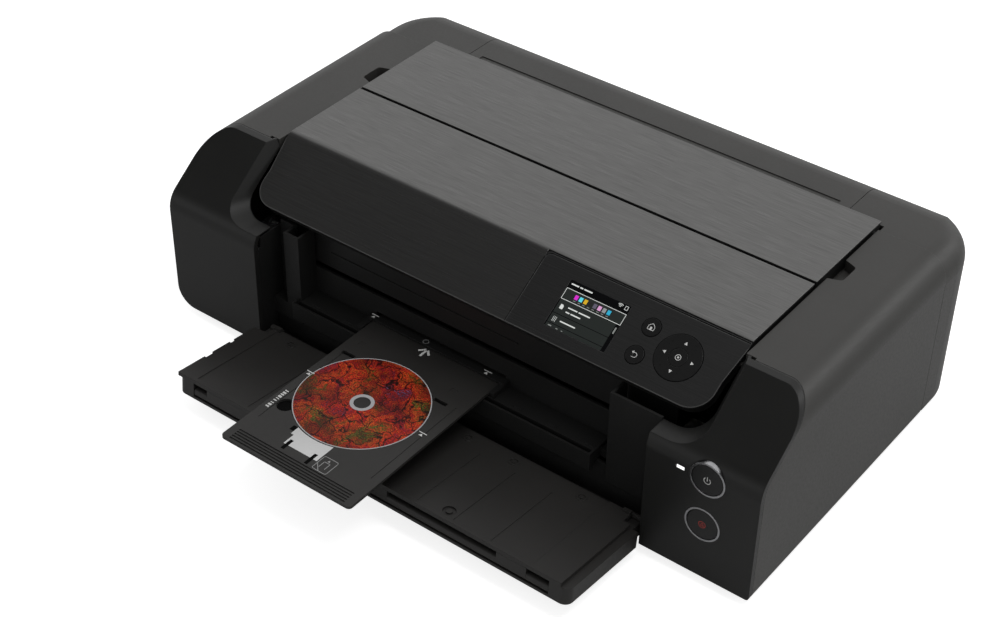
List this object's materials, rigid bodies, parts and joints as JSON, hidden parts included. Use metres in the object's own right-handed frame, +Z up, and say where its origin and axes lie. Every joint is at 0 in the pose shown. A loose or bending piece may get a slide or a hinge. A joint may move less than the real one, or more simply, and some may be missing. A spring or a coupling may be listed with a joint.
{
  "type": "inkjet photo printer",
  "caption": "Desktop inkjet photo printer with its output tray folded down and a disc tray in its front guide; hinged top cover, rear tray cover and moving print carriage.",
  "frame": {"origin": "middle of the footprint box at the height of the feet, with the output tray down and the disc tray in", "axes": "+X to the printer's right as seen from the front, +Y from the front to the back, +Z up"},
  "size_m": [0.639, 0.54, 0.1845],
  "materials": {
    "housing_dark": "fine-grained dark grey moulded plastic",
    "satin_black": "near-black satin plastic",
    "inner_black": "matte black plastic",
    "brushed_grey": "dark grey brushed finish, grain across the width",
    "tray_dark": "fine-grained dark plastic",
    "button_black": "satin black key top",
    "bright_ring": "bright plated ring",
    "lens_white": "clear white light lens",
    "screen_glass": "glossy screen window",
    "disc_print": "printed disc with a clear hub",
    "steel": "zinc-plated steel sheet",
    "polished_steel": "ground steel shaft",
    "roller_rubber": "rubber-coated roller",
    "belt_rubber": "toothed rubber belt",
    "foot_rubber": "soft rubber",
    "motor_metal": "plated motor can",
    "pulley_plastic": "natural acetal plastic",
    "tank_plastic": "smoked plastic ink tank",
    "pad_felt": "white absorbent felt",
    "board_green": "green circuit board",
    "part_white": "white moulded plastic"
  },
  "bodies": {
    "root": {"base_pan": "inner_black", "button_rings": "bright_ring", "carriage_belt": "belt_rubber", "carriage_rail": "steel", "control_panel": "satin_black", "deck_frame": "inner_black", "deck_panel": "brushed_grey", "display": "screen_glass", "exit_floor": "inner_black", "exit_panel": "inner_black", "feed_belt": "belt_rubber", "feet": "foot_rubber", "guide_shaft": "polished_steel", "inner_cover": "inner_black", "left_front_cover": "satin_black", "left_mouth_wall": "inner_black", "left_side_panel": "housing_dark", "logic_board": "board_green", "mains_inlet": "inner_black", "maintenance_station": "inner_black", "motors": "motor_metal", "paper_chute": "inner_black", "platen": "inner_black", "power_light": "lens_white", "power_supply": "inner_black", "rear_housing": "housing_dark", "right_front_cover": "satin_black", "right_mouth_wall": "inner_black", "right_side_panel": "housing_dark", "roller_brackets": "inner_black", "screws": "steel", "side_frames": "steel", "star_wheel_holder": "inner_black", "waste_ink_pad": "pad_felt"},
    "top_cover": {"lid_panel": "brushed_grey", "lid_frame": "inner_black"},
    "rear_cover": {"rear_tray_cover": "housing_dark"},
    "paper_support": {"paper_support": "tray_dark"},
    "left_paper_guide": {"left_paper_guide": "tray_dark"},
    "right_paper_guide": {"right_paper_guide": "tray_dark"},
    "output_tray": {"output_tray": "tray_dark"},
    "tray_extension": {"tray_extension": "tray_dark"},
    "disc_tray": {"disc_tray": "tray_dark", "disc": "disc_print"},
    "carriage": {"print_carriage": "inner_black", "print_head": "inner_black", "ink_tanks": "tank_plastic"},
    "drive_pulley": {"drive_pulley": "pulley_plastic"},
    "idler_pulley": {"idler_pulley": "pulley_plastic"},
    "feed_roller": {"feed_roller": "roller_rubber"},
    "discharge_roller": {"discharge_roller": "roller_rubber"},
    "pinch_rollers": {"pinch_rollers": "roller_rubber"},
    "star_wheels": {"star_wheels": "part_white"},
    "feed_motor_pulley": {"feed_motor_pulley": "pulley_plastic"},
    "power_button": {"power_button": "button_black"},
    "stop_button": {"stop_button": "button_black"},
    "home_button": {"home_button": "button_black"},
    "back_button": {"back_button": "button_black"},
    "dpad_ring": {"dpad_ring": "button_black"},
    "ok_button": {"ok_button": "button_black"}
  },
  "joints": [
    {"name": "top_cover_hinge", "type": "hinge", "parent": "root", "child": "top_cover", "pos_m": [0, 0.1835, 0.1785], "axis": [-1, 0, 0], "range_deg": [0, 75]},
    {"name": "rear_cover_hinge", "type": "hinge", "parent": "root", "child": "rear_cover", "pos_m": [0, 0.252, 0.17171], "axis": [-1, 0, 0], "range_deg": [0, 110]},
    {"name": "paper_support_slide", "type": "slide", "parent": "root", "child": "paper_support", "axis": [0, 0.4208, 0.9071], "range_m": [0, 0.09]},
    {"name": "right_guide_slide", "type": "slide", "parent": "root", "child": "right_paper_guide", "axis": [1, 0, 0], "range_m": [-0.053, 0.06]},
    {"name": "left_guide_slide", "type": "slide", "parent": "root", "child": "left_paper_guide", "axis": [1, 0, 0], "range_m": [-0.06, 0.053]},
    {"name": "output_tray_hinge", "type": "hinge", "parent": "root", "child": "output_tray", "pos_m": [0, -0.099, 0.018], "axis": [-1, 0, 0], "range_deg": [0, 5]},
    {"name": "tray_extension_slide", "type": "slide", "parent": "output_tray", "child": "tray_extension", "axis": [0, -0.9945, 0.1045], "range_m": [0, 0.07]},
    {"name": "disc_tray_slide", "type": "slide", "parent": "root", "child": "disc_tray", "axis": [0, 1, 0], "range_m": [-0.06, 0.19]},
    {"name": "carriage_slide", "type": "slide", "parent": "root", "child": "carriage", "axis": [1, 0, 0], "range_m": [-0.455, 0.005]},
    {"name": "drive_pulley_spin", "type": "hinge", "parent": "root", "child": "drive_pulley", "pos_m": [-0.27, 0.0235, 0.108], "axis": [0, 1, 0], "range_deg": [-3160, 60]},
    {"name": "idler_pulley_spin", "type": "hinge", "parent": "root", "child": "idler_pulley", "pos_m": [0.27, 0.0235, 0.108], "axis": [0, 1, 0], "range_deg": [-3160, 60]},
    {"name": "feed_roller_spin", "type": "hinge", "parent": "root", "child": "feed_roller", "pos_m": [0, 0.096, 0.0557], "axis": [1, 0, 0], "continuous": true},
    {"name": "discharge_roller_spin", "type": "hinge", "parent": "root", "child": "discharge_roller", "pos_m": [0, 0.019, 0.0577], "axis": [1, 0, 0], "continuous": true},
    {"name": "pinch_roller_spin", "type": "hinge", "parent": "root", "child": "pinch_rollers", "pos_m": [0, 0.096, 0.0721], "axis": [1, 0, 0], "continuous": true},
    {"name": "star_wheel_spin", "type": "hinge", "parent": "root", "child": "star_wheels", "pos_m": [0, 0.019, 0.0731], "axis": [1, 0, 0], "continuous": true},
    {"name": "feed_motor_spin", "type": "hinge", "parent": "root", "child": "feed_motor_pulley", "pos_m": [-0.286, -0.014, 0.06], "axis": [1, 0, 0], "continuous": true},
    {"name": "power_button_press", "type": "slide", "parent": "root", "child": "power_button", "axis": [0, 1, 0], "range_m": [0, 0.001], "stiffness_N_per_m": 800, "springref_m": -0.0005},
    {"name": "stop_button_press", "type": "slide", "parent": "root", "child": "stop_button", "axis": [0, 1, 0], "range_m": [0, 0.001], "stiffness_N_per_m": 800, "springref_m": -0.0005},
    {"name": "home_button_press", "type": "slide", "parent": "root", "child": "home_button", "axis": [0, 0.5314, -0.8471], "range_m": [0, 0.0008], "stiffness_N_per_m": 600, "springref_m": -0.0005},
    {"name": "back_button_press", "type": "slide", "parent": "root", "child": "back_button", "axis": [0, 0.5314, -0.8471], "range_m": [0, 0.0008], "stiffness_N_per_m": 600, "springref_m": -0.0005},
    {"name": "dpad_ring_press", "type": "slide", "parent": "root", "child": "dpad_ring", "axis": [0, 0.5314, -0.8471], "range_m": [0, 0.0008], "stiffness_N_per_m": 600, "springref_m": -0.0005},
    {"name": "ok_button_press", "type": "slide", "parent": "root", "child": "ok_button", "axis": [0, 0.5314, -0.8471], "range_m": [0, 0.0008], "stiffness_N_per_m": 600, "springref_m": -0.0005}
  ],
  "couplings": [
    {"joint": "paper_support_slide", "follows": "rear_cover_hinge", "m_per_rad": 0.046878},
    {"joint": "left_guide_slide", "follows": "right_guide_slide", "ratio": -1},
    {"joint": "drive_pulley_spin", "follows": "carriage_slide", "rad_per_m": 120.48},
    {"joint": "idler_pulley_spin", "follows": "carriage_slide", "rad_per_m": 120.48},
    {"joint": "discharge_roller_spin", "follows": "feed_roller_spin", "ratio": 1},
    {"joint": "pinch_roller_spin", "follows": "feed_roller_spin", "ratio": -2.25},
    {"joint": "star_wheel_spin", "follows": "feed_roller_spin", "ratio": -1.4},
    {"joint": "feed_motor_spin", "follows": "feed_roller_spin", "ratio": 2.3333}
  ]
}
